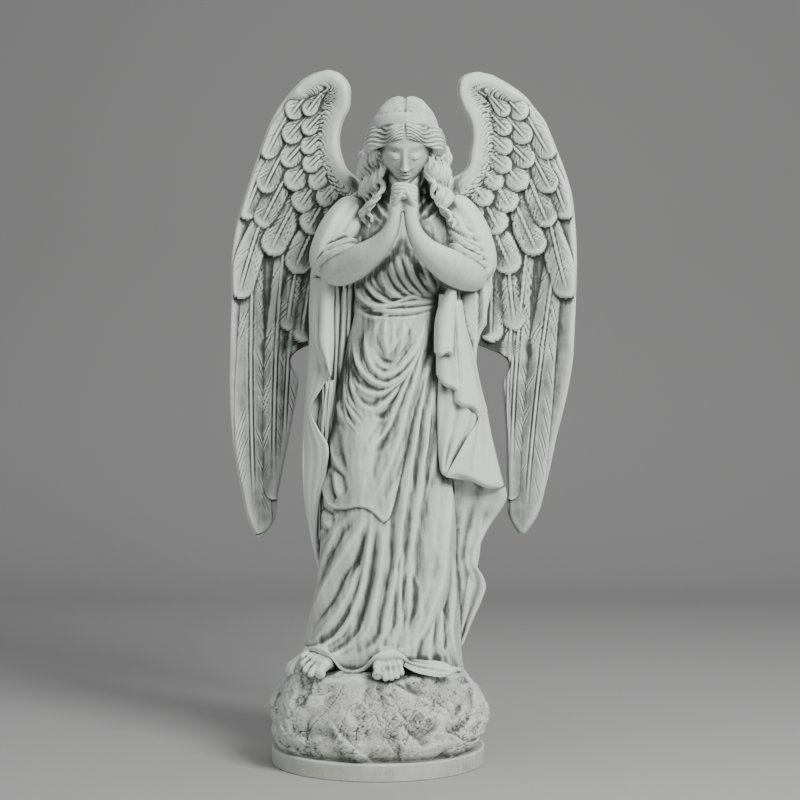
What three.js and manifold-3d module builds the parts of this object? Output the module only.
// A praying angel for a garden: a draped, winged figure with clasped hands, on a rock with a round foot.
// Millimetres, +Z up. The figure faces -Y, and the origin is the centre of the foot's underside.
import * as THREE from "three";
import { mergeVertices } from "three/addons/utils/BufferGeometryUtils.js";
import Module from "manifold-3d";

const wasm = await Module();
wasm.setup();

// Driving sizes, in millimetres.
const HEIGHT = 1200; // from the ground to the top of the wings
const FOOT_DIAMETER = 361;
const FOOT_THICKNESS = 29;
const ROCK_HEIGHT = 158; // from the ground to where the figure stands
const SEAT_GAP = 0.4; // between the figure and the rock
const SOCKET_GAP = 0.9; // between a wing's root and its socket in the figure
const FINEST_EDGE = { figure: 2.6, wing: 1.2 }; // shorter detail is left out

// Everything above the rock is drawn on a front view of 800 by 800 units, with x to the right and y down.
// A unit is a length at the figure's axis. Depths are in the same unit, and run back from that axis.
const VIEW_HEIGHT = 704.3;
const UNIT = HEIGHT / VIEW_HEIGHT;
const FOOT_CENTRE = { x: 378.3, y: 760 };
const EYE = { x: 400, y: 400, distance: 1786 };
const COLOURS = { figure: 0xc9cdc6, wing: 0xc4c8c1, rock: 0xb4b7ae };

// The point of space that the view shows at (x, y), `depth` units behind the axis.
function at(x, y, depth) {
  const spread = 1 + depth / EYE.distance;
  return new THREE.Vector3(
    (EYE.x - FOOT_CENTRE.x + (x - EYE.x) * spread) * UNIT,
    depth * UNIT,
    (FOOT_CENTRE.y - EYE.y + (EYE.y - y) * spread) * UNIT,
  );
}

const { clamp, degToRad, lerp, smoothstep } = THREE.MathUtils;
const hump = (t) => (Math.abs(t) < 1 ? (1 - t * t) ** 2 : 0);
const steps = (n, make) => Array.from({ length: n + 1 }, (_, i) => make(i / n));
const turns = (n, make) => Array.from({ length: n }, (_, i) => make((i / n) * 2 * Math.PI));

// Reads rows of [key, value, value, ...] at any key, on smooth curves through the values.
function reader(rows) {
  const last = rows.length - 1;
  const rising = rows[last][0] > rows[0][0];
  const curves = rows[0].slice(1).map((_, i) => {
    const values = rows.map((row) => new THREE.Vector3(row[i + 1], 0, 0));
    return new THREE.CatmullRomCurve3(values, false, "catmullrom");
  });
  return (key) => {
    const beyond = rows.findIndex((row) => (rising ? row[0] > key : row[0] < key));
    const next = beyond < 0 ? last : Math.max(1, beyond);
    const part = clamp((key - rows[next - 1][0]) / (rows[next][0] - rows[next - 1][0]), 0, 1);
    return curves.map((curve) => curve.getPoint((next - 1 + part) / last).x);
  };
}

// A closed geometry as a solid. A surface that was built with its faces inwards is turned round.
function solid(geometry) {
  const shape = new THREE.BufferGeometry();
  shape.setAttribute("position", geometry.getAttribute("position"));
  shape.setIndex(geometry.getIndex());
  const merged = mergeVertices(shape, 1e-3);
  const vertProperties = merged.getAttribute("position").array;
  const make = (triVerts) => new wasm.Manifold(new wasm.Mesh({ numProp: 3, vertProperties, triVerts }));
  const triVerts = new Uint32Array(merged.getIndex().array);
  const made = make(triVerts);
  return made.volume() > 0 ? made : make(triVerts.reverse());
}

const join = (solids) => solids.reduce((a, b) => a.add(b));
const largest = (shape) => shape.decompose().sort((a, b) => b.volume() - a.volume())[0];

// A closed solid through rings of points that all run the same way round, with a fan over both ends.
function loft(rings) {
  const around = rings[0].length;
  const centre = (ring) => ring.reduce((sum, p) => sum.add(p), new THREE.Vector3()).divideScalar(around);
  const points = [...rings.flat(), centre(rings[0]), centre(rings.at(-1))];
  const firstOfLast = (rings.length - 1) * around;
  const faces = [];
  for (let j = 0; j < around; j++) {
    const next = (j + 1) % around;
    faces.push(points.length - 2, next, j);
    for (let low = 0; low < firstOfLast; low += around) {
      faces.push(low + j, low + next, low + next + around);
      faces.push(low + j, low + next + around, low + j + around);
    }
    faces.push(points.length - 1, firstOfLast + j, firstOfLast + next);
  }
  return solid(new THREE.BufferGeometry().setFromPoints(points).setIndex(faces));
}

// A round limb, lock of hair or toe through stations of [x, y, depth, radius, flatness].
function limb(stations, around, along) {
  const line = new THREE.CatmullRomCurve3(stations.map(([x, y, depth]) => at(x, y, depth)));
  const share = (i) => i / (stations.length - 1);
  const section = reader(stations.map(([, , , radius, flat = 1], i) => [share(i), radius, flat]));
  return loft(
    steps(along, (t) => {
      const ahead = line.getTangent(t);
      const across = new THREE.Vector3(0, 1, 0).cross(ahead).normalize();
      const up = ahead.clone().cross(across);
      const [radius, flat] = section(t);
      return turns(around, (angle) =>
        line
          .getPoint(t)
          .addScaledVector(across, radius * UNIT * Math.cos(angle))
          .addScaledVector(up, radius * flat * UNIT * Math.sin(angle)),
      );
    }),
  );
}

const limbs = (all, { around, along }) => all.map((stations) => limb(stations, around, along));

// A hanging fold of cloth through rows of [y, left x, left depth, right x, right depth].
function panel({ rows, thick = 10, belly = 2, across = 2, down = 7 }) {
  const edges = reader(rows);
  return loft(
    steps(down, (t) => {
      const y = lerp(rows.at(-1)[0], rows[0][0], t);
      const [left, leftDepth, right, rightDepth] = edges(y);
      const face = (u, back) => at(lerp(left, right, u), y, lerp(leftDepth, rightDepth, u) + back);
      const front = steps(across, (u) => face(u, -belly * Math.sin(Math.PI * u)));
      return [...front, ...steps(across, (u) => face(1 - u, thick))];
    }),
  );
}

// How many faces run along and around each part. Together they make about 10,000 triangles.
const GRID = {
  robe: { along: 14, around: 16 },
  fold: { along: 5, around: 4 },
  mantle: { along: 11, around: 13 },
  upperArm: { along: 3, around: 8 },
  forearm: { along: 6, around: 8 },
  palm: { along: 2, around: 5 },
  finger: { along: 2, around: 5 },
  head: { along: 10, around: 12 },
  hairCap: { along: 6, around: 13 },
  wave: { along: 5, around: 6 },
  lock: { along: 7, around: 5 },
  backHair: { along: 5, around: 11 },
  neck: { along: 2, around: 9 },
  sole: { along: 3, around: 8 },
  toe: { along: 1, around: 5 },
  wing: { along: 23, around: 8 },
  rock: { along: 8, around: 26 },
  foot: { around: 40 },
};

// The robe, as rows of [y, left x, right x, front depth, back depth] from the hem to the neckline.
const ROBE = [
  [700, 306, 458, -54, 48],
  [676, 300, 464, -60, 52],
  [620, 309, 460, -55, 48],
  [580, 318, 458, -50, 46],
  [520, 321, 456, -48, 46],
  [450, 330, 452, -46, 46],
  [350, 346, 442, -36, 40],
  [308, 355, 438, -31, 36],
  [270, 353, 445, -36, 40],
  [230, 350, 454, -36, 42],
  [203, 350, 456, -26, 40],
  [190, 372, 436, -18, 32],
];

// The robe's larger folds: the radius of each ridge, and its line on the front view. A ridge lies in the
// cloth by a share of its radius, and thins to another share at both ends.
const FOLD_SUNK = 0.25;
const FOLD_END = 0.3;
const FOLDS = [
  { radius: 5, line: [[424, 314], [421, 340], [409, 358], [391, 374], [377, 370], [366, 345], [364, 322]] },
  { radius: 5, line: [[354, 328], [356, 356], [368, 378], [386, 386], [404, 376], [418, 352], [426, 325]] },
  { radius: 5.5, line: [[366, 449], [386, 428], [396, 406], [409, 376], [423, 340]] },
  { radius: 6, line: [[372, 505], [388, 468], [401, 432], [412, 392], [427, 342]] },
  { radius: 4.5, line: [[386, 640], [390, 600], [397, 550], [405, 500], [415, 450], [424, 400], [431, 345]] },
  { radius: 8, line: [[408, 650], [424, 628], [436, 594], [443, 540], [448, 470]] },
  { radius: 6, line: [[350, 650], [369, 628], [378, 585], [383, 545], [385, 520]] },
  { radius: 6.5, line: [[312, 655], [335, 640], [356, 610], [367, 570], [372, 514]] },
  { radius: 7, line: [[314, 632], [325, 595], [345, 552], [364, 516]] },
  { radius: 4.5, line: [[399, 250], [402, 265], [410, 283], [423, 297]] },
  { radius: 4.5, line: [[365, 281], [370, 296], [384, 303], [400, 300]] },
  { radius: 4, line: [[360, 308], [396, 306], [434, 304]] },
];

// Where the body fills the robe: the belly above the swags, and the thigh and knee of the forward leg.
const FILLED = [
  { x: 395, y: 336, wide: 26, high: 34, proud: 6 },
  { x: 358, y: 455, wide: 20, high: 62, proud: 10 },
];

const bell = (t) => Math.exp(-t * t);
const filled = (x, y) =>
  FILLED.reduce((sum, f) => sum + f.proud * bell((x - f.x) / f.wide) * bell((y - f.y) / f.high), 0);

function robe() {
  const read = reader(ROBE);
  const gown = loft(
    steps(GRID.robe.along, (t) => {
      const y = lerp(ROBE[0][0], ROBE.at(-1)[0], t);
      const [left, right, forward, back] = read(y);
      return turns(GRID.robe.around, (angle) => {
        const x = lerp(left, right, (1 + Math.cos(angle)) / 2);
        const point = at(x, y, 0);
        const front = forward - filled(x, y);
        point.y = Math.sin(angle) * (angle > Math.PI ? -front : back) * UNIT;
        return point;
      });
    }),
  );
  const folds = FOLDS.map(({ radius, line }) =>
    limb(
      line.map(([x, y], i) => {
        const [left, right, forward] = read(y);
        const side = (2 * x - left - right) / (right - left);
        const sunk = forward * Math.sqrt(Math.max(0, 1 - side * side)) - filled(x, y);
        return [x, y, sunk + radius * FOLD_SUNK, i % (line.length - 1) ? radius : FOLD_END * radius];
      }),
      GRID.fold.around,
      GRID.fold.along,
    ),
  );
  return join([gown, ...folds]);
}

// The mantle down the back, as rows of [y, left x, right x, back depth]. Its pleats run down from the shoulders.
const MANTLE = [
  [628, 352, 462, 56],
  [600, 330, 470, 62],
  [552, 314, 480, 64],
  [480, 303, 482, 62],
  [420, 304, 480, 59],
  [345, 309, 478, 56],
  [300, 309, 490, 54],
  [262, 314, 491, 52],
  [230, 329, 480, 50],
  [200, 343, 460, 45],
  [187, 364, 442, 35],
];
const MANTLE_PLEATS = { proud: 3.5, across: 7, lean: 90 };
const MANTLE_EDGE = 0.3; // how far round the sides the mantle reaches, in radians

function mantle() {
  const read = reader(MANTLE);
  return loft(
    steps(GRID.mantle.along, (t) => {
      const y = lerp(MANTLE[0][0], MANTLE.at(-1)[0], t);
      const [left, right, back] = read(y);
      return steps(GRID.mantle.around, (u) => {
        const angle = lerp(-MANTLE_EDGE, Math.PI + MANTLE_EDGE, u);
        const { proud, across, lean } = MANTLE_PLEATS;
        const point = at(lerp(left, right, (1 + Math.cos(angle)) / 2), y, 0);
        point.y = (back + proud * Math.cos(angle * across + y / lean)) * Math.sin(angle) * UNIT;
        return point;
      });
    }),
  );
}

// The mantle's hanging fronts: ripples on the left of the view, and a cascade of pleats on its right.
const HANGING_FRONTS = [
  {
    rows: [
      [285, 311, -2, 322, -12], [345, 309, -2, 319, -10], [372, 307, -2, 330, -14],
      [409, 304, -2, 311, -8], [448, 303, 0, 329, -12], [500, 305, 0, 320, -6], [548, 314, 2, 317, 0],
    ],
    thick: 16,
  },
  {
    rows: [[282, 320, -16, 335, -16], [345, 319, -18, 334, -16], [372, 330, -17, 333, -15]],
    thick: 22,
    down: 3,
  },
  {
    rows: [[284, 322, -2, 337, -4], [360, 318, -2, 334, -4], [460, 318, 0, 330, 0]],
    thick: 24,
    down: 3,
  },
  {
    rows: [[283, 438, -34, 456, -28], [310, 436, -40, 454, -34], [354, 434, -42, 453, -36]],
    thick: 20,
    down: 3,
  },
  {
    rows: [[290, 438, -34, 460, -26], [354, 436, -37, 459, -30], [398, 456, -34, 462, -31]],
    thick: 26,
    down: 5,
  },
  {
    rows: [
      [292, 450, -26, 461, -18], [350, 452, -28, 474, -14], [406, 456, -30, 486, -14],
      [421, 478, -26, 490, -12], [450, 462, -32, 496, -12], [479, 447, -36, 505, -12],
    ],
    thick: 12,
    belly: 4,
    down: 7,
  },
  {
    rows: [[396, 438, -34, 462, -22], [440, 438, -36, 462, -22], [472, 440, -38, 456, -26]],
    thick: 30,
    down: 3,
  },
  {
    rows: [
      [468, 460, -16, 498, -11], [490, 460, -10, 506, -2], [510, 461, -4, 502, 4], [542, 462, 0, 482, 10],
      [580, 461, 0, 485, 6], [640, 460, 6, 463, 10],
    ],
    thick: 20,
    down: 7,
  },
];

// Arms as stations of a limb: the covered upper arms, the bare forearms and the palms.
const UPPER_ARMS = [
  [[362, 208, 6, 21], [348, 230, 4, 24], [337, 262, -6, 24], [334, 278, -14, 15]],
  [[446, 208, 6, 21], [462, 232, 4, 23], [472, 262, -4, 23], [474, 280, -10, 15]],
];
const FOREARMS = [
  [
    [330, 270, -18, 15], [352, 264, -42, 17], [376, 251, -68, 12.5],
    [393, 228, -88, 7.5], [395, 206, -92, 6.5],
  ],
  [[477, 277, -16, 14], [456, 270, -42, 16.5], [428, 252, -68, 12.5], [412, 230, -88, 8], [411, 206, -92, 7]],
];
const PALMS = [
  [[395, 211, -92, 6.5], [398, 200, -94, 7, 0.8], [402, 191, -95, 6, 0.8]],
  [[411, 211, -92, 7], [409, 200, -93, 7.5, 0.8], [406, 191, -93, 6.5, 0.8]],
];
const FINGERS = {
  count: 4, left: 394, right: 415, y: 188.5, pitch: 2.6, depth: -96, radius: 2, knuckle: { up: 1.5, out: 5 },
};

function arms() {
  const { count, left, right, y, pitch, depth, radius, knuckle } = FINGERS;
  const middle = (left + right) / 2;
  const fingers = Array.from({ length: count }, (_, i) => {
    const height = y + i * pitch;
    const ends = [left, right].map((x) => [x, height, depth, radius]);
    return [ends[0], [middle, height - knuckle.up, depth - knuckle.out, radius], ends[1]];
  });
  return join([
    ...limbs(UPPER_ARMS, GRID.upperArm),
    ...limbs(FOREARMS, GRID.forearm),
    ...limbs(PALMS, GRID.palm),
    ...limbs(fingers, GRID.finger),
  ]);
}

// The head bows. Its own directions are across, up to the crown and out of the brow, from the skull's middle.
const HEAD = {
  x: 405, y: 142, depth: -50, bow: 26, halfWide: 25, halfTall: 35, halfDeep: 31, poles: 0.04, jaw: 0.2,
};
// The hair over the crown runs from one share of half a turn above the brow's level to another.
const HAIR_CAP = {
  halfWide: 33.5, halfTall: 38.5, front: 31, back: 40, lift: 6, setBack: 3, from: -0.067, to: 0.493,
};
const PARTING = { sunk: 0.05, halfWide: 0.2 };
// Features of a face on the unit sphere: the height and half width of each hump, and how proud it is.
const FEATURES = [
  { up: -0.2, tall: 0.26, wide: 0.2, proud: 7 }, // nose
  { up: -0.55, tall: 0.14, wide: 0.34, proud: 2.5 }, // lips
  { up: -0.86, tall: 0.16, wide: 0.3, proud: 3 }, // chin
];

function headPoint(across, up, out) {
  const bow = degToRad(HEAD.bow);
  const point = at(HEAD.x, HEAD.y, HEAD.depth);
  point.x += across * UNIT;
  point.y -= (out * Math.cos(bow) + up * Math.sin(bow)) * UNIT;
  point.z += (up * Math.cos(bow) - out * Math.sin(bow)) * UNIT;
  return point;
}

function head() {
  const { halfWide, halfTall, halfDeep, poles, jaw } = HEAD;
  return loft(
    steps(GRID.head.along, (t) => {
      const up = -Math.cos(Math.PI * lerp(poles, 1 - poles, t));
      const wide = Math.sqrt(1 - up * up);
      const narrow = up < 0 ? 1 - jaw * up * up : 1;
      return turns(GRID.head.around, (angle) => {
        const across = Math.sin(angle) * wide;
        const humps = FEATURES.map((f) => f.proud * hump(across / f.wide) * hump((up - f.up) / f.tall));
        const face = Math.max(0, Math.cos(angle)) ** 2 * (humps[0] + humps[1] + humps[2]);
        const out = halfDeep * Math.cos(angle) * wide + face;
        return headPoint(halfWide * across * narrow, halfTall * up, out);
      });
    }),
  );
}

// Hair, as stations of a limb: waves from the parting over the ears, locks on the shoulders, the back.
const WAVES = [
  [[404, 131, -89, 4], [391, 137, -86, 7], [378, 144, -72, 9.5], [371, 155, -54, 10], [374, 174, -42, 9]],
  [[408, 131, -89, 4], [421, 137, -86, 7], [434, 144, -72, 9.5], [439, 157, -54, 10], [436, 176, -42, 9]],
];
const LOCKS = [
  [
    [373, 150, -44, 9], [367, 168, -42, 8], [368, 186, -40, 6.5], [372, 197, -42, 6],
    [366, 207, -42, 5], [365, 222, -40, 2],
  ],
  [[378, 165, -54, 7], [377, 180, -54, 7], [381, 191, -54, 6], [370, 202, -50, 4.5], [371, 216, -46, 2]],
  [
    [437, 152, -46, 9], [443, 168, -46, 8], [436, 187, -48, 6.5], [441, 199, -48, 6],
    [445, 209, -44, 5], [450, 221, -42, 2.5],
  ],
  [[432, 162, -54, 7], [443, 180, -52, 6], [440, 196, -48, 4.5], [448, 206, -42, 3], [451, 216, -38, 2]],
];
const BACK_HAIR = [
  [405, 116, -42, 12], [405, 126, -32, 28], [404, 150, -18, 34, 0.9], [403, 182, -2, 35, 0.8],
  [402, 214, 14, 27, 0.7],
];
const NECK = [[404, 205, -18, 18], [404, 190, -28, 15], [404, 172, -42, 16]];

function hair() {
  const { halfWide, halfTall, front, back, lift, setBack, from, to } = HAIR_CAP;
  const cap = loft(
    steps(GRID.hairCap.along, (t) => {
      const up = Math.sin(Math.PI * lerp(from, to, t));
      const wide = Math.sqrt(1 - up * up);
      return turns(GRID.hairCap.around, (angle) => {
        const out = Math.cos(angle);
        const parting = PARTING.sunk * hump(Math.sin(angle) / PARTING.halfWide) * Math.max(0, out);
        const deep = (out > 0 ? front : back) * out * wide - setBack;
        return headPoint(halfWide * Math.sin(angle) * wide, lift + halfTall * up * (1 - parting), deep);
      });
    }),
  );
  return join([
    cap,
    ...limbs(WAVES, GRID.wave),
    ...limbs(LOCKS, GRID.lock),
    ...limbs([BACK_HAIR], GRID.backHair),
    ...limbs([NECK], GRID.neck),
  ]);
}

// Bare feet: where each instep shows, the way it turns in degrees, and the side of its big toe.
const FEET = [
  { x: 322, y: 666, depth: -46, turn: -28, bigToe: 2 },
  { x: 386, y: 668, depth: -58, turn: 4, bigToe: -2 },
];
// A foot's sole as stations of [along, across, drop, radius, flatness] from where its instep shows.
const SOLE = [[-14, 0, -8, 15, 0.75], [2, 0, -4, 15.5, 0.62], [15, 0, 3, 13, 0.5]];
const TOES = {
  pitch: 5.3, big: 4.2, small: 2.9, tip: 0.85, from: 10, reach: 24, shorter: 2, rootDrop: 4, tipDrop: 6,
};

function foot({ x, y, depth, turn, bigToe }) {
  const [cos, sin] = [Math.cos(degToRad(turn)), Math.sin(degToRad(turn))];
  const station = (along, across, drop, radius, flat = 1) =>
    [x + along * sin + across * cos, y + drop, depth - along * cos + across * sin, radius, flat];
  const toes = [-2, -1, 0, 1, 2].map((place) => {
    const radius = place === bigToe ? TOES.big : TOES.small;
    const reach = TOES.reach - Math.abs(place - bigToe) * TOES.shorter;
    const across = place * TOES.pitch;
    return [
      station(TOES.from, across, TOES.rootDrop, radius),
      station(reach, across, TOES.tipDrop, radius * TOES.tip),
    ];
  });
  const sole = SOLE.map((row) => station(...row));
  return join([...limbs([sole], GRID.sole), ...limbs(toes, GRID.toe)]);
}

// The outlines of the wings, as rows of [y, outer x, inner x] from the quills' tips to the top of the arm.
const WING_OUTLINES = {
  wing_right: [
    [537, 256, 262], [525, 250, 272], [490, 241, 279], [440, 232.5, 289], [385, 229.5, 299], [347, 230, 305],
    [338, 230, 330], [300, 231, 356], [262, 231, 366], [225, 236, 372], [190, 246, 376], [172, 252, 350],
    [155, 258, 342], [138, 264, 340], [123, 270, 343], [107, 279, 350], [96, 287, 351], [86, 296, 350],
    [78, 305, 345], [72, 318, 337], [70, 326, 331],
  ],
  wing_left: [
    [533, 526, 518], [520, 535, 510], [485, 546, 507], [440, 556, 506], [385, 569, 502], [354, 573.5, 499],
    [344, 574, 474], [300, 576, 452], [262, 577, 440], [225, 575.5, 434], [190, 571, 430], [172, 565.5, 462],
    [152, 558, 469], [132, 550, 470.5], [121, 545, 468], [107, 534, 461], [96, 525, 457.5], [86, 512, 457.5],
    [79, 500, 460], [74, 489, 467], [72, 480, 474],
  ],
};
// A wing's depth from root to outer edge, which makes its face hollow, and half its thickness at arm and tip.
const WING_DEPTHS = [44, 61, 68, 66, 54].map((depth) => new THREE.Vector3(depth, 0, 0));
const WING_HOLLOW = new THREE.CatmullRomCurve3(WING_DEPTHS);
const WING_REACH = { middle: 403.5, root: 25, outer: 175 };
const WING_THICKNESS = { arm: 9, tip: 5, from: 170, to: 330 };
const WING_CROWDING = 0.127; // draws the rows of faces closer together at both ends
const WING_SQUARENESS = 0.7; // under 1, the section of a wing is squarer than an ellipse

function wingDepth(x) {
  const { middle, root, outer } = WING_REACH;
  return WING_HOLLOW.getPoint(clamp((Math.abs(x - middle) - root) / (outer - root), 0, 1)).x;
}

const wingThickness = (y) =>
  lerp(WING_THICKNESS.arm, WING_THICKNESS.tip, smoothstep(y, WING_THICKNESS.from, WING_THICKNESS.to));

// The body of a wing. `room` is a margin all round, for the socket that takes it.
function wingBody(name, room) {
  const rows = WING_OUTLINES[name];
  const edges = reader(rows);
  return loft(
    steps(GRID.wing.along, (t) => {
      const level = t - WING_CROWDING * Math.sin(2 * Math.PI * t);
      const y = lerp(rows[0][0], rows.at(-1)[0], level);
      const [outer, inner] = edges(y);
      const outward = Math.sign(outer - inner);
      return turns(GRID.wing.around, (angle) => {
        const x = lerp(inner - outward * room, outer + outward * room, (1 + Math.cos(angle)) / 2);
        const round = Math.sign(Math.sin(angle)) * Math.abs(Math.sin(angle)) ** WING_SQUARENESS;
        return at(x, y + room * (1 - 2 * level), wingDepth(x) + round * (wingThickness(y) + room));
      });
    }),
  );
}

// Rows of feathers, drawn on the figure's right wing from the arm to the long quills. Roots and tips run on
// curves through three points. Half widths go from the first feather to the last, and they are `lift` proud.
const FEATHER_ROWS = [
  {
    count: 5, lift: 4.6, half: [8, 10],
    roots: [[319, 98], [326, 143], [345, 198]],
    tips: [[306, 115], [303, 168], [328, 221]],
  },
  {
    count: 4, lift: 3.8, half: [9, 12],
    roots: [[305, 98], [305, 138], [324, 200]],
    tips: [[290, 118], [285, 168], [307, 233]],
  },
  {
    count: 4, lift: 3, half: [10, 13],
    roots: [[286, 118], [290, 190], [342, 236]],
    tips: [[266, 158], [270, 252], [324, 288]],
  },
  {
    count: 2, lift: 2.4, half: [10, 13],
    roots: [[267, 158], [264, 185], [262, 212]],
    tips: [[245, 219], [242, 258], [240, 298]],
  },
  {
    count: 2, lift: 1.8, half: [11, 11],
    roots: [[300, 260], [312, 264], [324, 270]],
    tips: [[289, 330], [300, 338], [312, 342]],
  },
  {
    count: 3, lift: 1.2, half: [12, 8],
    roots: [[251, 280], [270, 262], [288, 315]],
    tips: [[256, 500], [271, 470], [282, 430]],
  },
];

function feathers(name) {
  const home = reader(WING_OUTLINES.wing_right);
  const away = reader(WING_OUTLINES[name]);
  const carry = ({ x, y }) => {
    const [outer, inner] = home(y);
    const [outerThere, innerThere] = away(y);
    return new THREE.Vector2(lerp(innerThere, outerThere, (x - inner) / (outer - inner)), y);
  };
  const curve = (points) => new THREE.SplineCurve(points.map(([x, y]) => new THREE.Vector2(x, y)));
  return FEATHER_ROWS.flatMap(({ count, lift, half, roots, tips }) =>
    steps(count - 1, (t) => {
      const [root, tip] = [curve(roots).getPoint(t), curve(tips).getPoint(t)];
      return feather(carry(root), carry(tip), lerp(half[0], half[1], t), lift);
    }),
  );
}

// One feather: a blade with a blunt round end, highest along its quill and at its end, sunk into the wing.
// Widths are shares of its half width, and the round end is `blunt` half widths or `longest` of it long.
const BLADE = { root: 0.9, end: 0.45, blunt: 0.8, longest: 0.5, crown: 1 };

function feather(root, tip, half, lift) {
  const along = tip.clone().sub(root);
  const across = new THREE.Vector2(-along.y, along.x).normalize();
  const { root: rootWide, end: endWide, blunt, longest, crown } = BLADE;
  const end = 1 - Math.min(longest, (blunt * half) / along.length());
  const rings = [[0, rootWide], [end, 1], [1, endWide]].map(([reach, width]) =>
    [-1, 0, 1, 0].map((side, i) => {
      const spot = root.clone().addScaledVector(along, reach).addScaledVector(across, side * width * half);
      const proud = (i === 1 ? lift + crown : lift - crown) * lerp(0.5, 1, reach);
      const deep = i === 3 ? 0 : wingThickness(spot.y) + proud;
      return at(spot.x, spot.y, wingDepth(spot.x) - deep);
    }),
  );
  return loft(rings);
}

// The rock stands on its round foot, as rows of [height, half width] in millimetres.
const ROCK = [[20, 168], [50, 177], [72, 179], [102, 176], [134, 167], [ROCK_HEIGHT, 154]];
// Ledges and bosses: how proud, how many round the rock, and their climb, in radians a millimetre of height.
const ROUGHNESS = [
  { proud: 6, around: 3, climb: 0.035 },
  { proud: 4.4, around: 7, climb: -0.065 },
  { proud: 3.6, around: 13, climb: 0.12 },
];

const FOOT_BEVEL = 2;
const TOP_CALM = 0.6; // how much of the roughness is lost towards the rock's flat top

function rockBase() {
  const radius = FOOT_DIAMETER / 2;
  const bevelled = radius - FOOT_BEVEL;
  const profile = [
    [0, 0], [bevelled, 0], [radius, FOOT_BEVEL], [radius, FOOT_THICKNESS - FOOT_BEVEL],
    [bevelled, FOOT_THICKNESS], [0, FOOT_THICKNESS],
  ];
  const outline = profile.map(([x, y]) => new THREE.Vector2(x, y));
  const base = solid(new THREE.LatheGeometry(outline, GRID.foot.around).rotateX(Math.PI / 2));
  const read = reader(ROCK);
  const stone = loft(
    steps(GRID.rock.along, (t) => {
      const height = lerp(ROCK[0][0], ROCK_HEIGHT, t);
      const [half] = read(height);
      return turns(GRID.rock.around, (angle) => {
        const rough = ROUGHNESS.reduce(
          (sum, { proud, around, climb }) => sum + proud * Math.sin(angle * around + height * climb),
          0,
        );
        const reach = half + rough * (1 - TOP_CALM * t ** 4);
        return new THREE.Vector3(reach * Math.cos(angle), reach * Math.sin(angle), height);
      });
    }),
  );
  return base.add(stone);
}

function mesh(name, shape, colour) {
  const { vertProperties, triVerts } = shape.getMesh();
  const geometry = new THREE.BufferGeometry();
  geometry.setAttribute("position", new THREE.BufferAttribute(vertProperties, 3));
  geometry.setIndex(new THREE.BufferAttribute(triVerts, 1));
  geometry.computeVertexNormals();
  const material = new THREE.MeshStandardMaterial({ color: colour, roughness: 0.75, metalness: 0 });
  const made = new THREE.Mesh(geometry, material);
  made.name = name;
  return made;
}

// The castings are made apart: the figure is cut to sit on the rock and to take the roots of the wings.
const sides = Object.keys(WING_OUTLINES);
const rock = rockBase();
const cloth = [robe(), mantle(), ...HANGING_FRONTS.map(panel)];
const body = join([...cloth, arms(), head(), hair(), ...FEET.map(foot)]);
const seat = rock.translate([0, 0, SEAT_GAP]);
const sockets = sides.map((name) => wingBody(name, SOCKET_GAP / UNIT));
const finished = body.simplify(FINEST_EDGE.figure);
const figure = [seat, ...sockets].reduce((shape, room) => shape.subtract(room), finished);

const angel = new THREE.Group();
angel.add(mesh("praying_figure", largest(figure), COLOURS.figure));
for (const name of sides) {
  const wing = join([wingBody(name, 0), ...feathers(name)]).simplify(FINEST_EDGE.wing);
  angel.add(mesh(name, largest(wing), COLOURS.wing));
}
angel.add(mesh("rock_base", rock, COLOURS.rock));

export default angel;
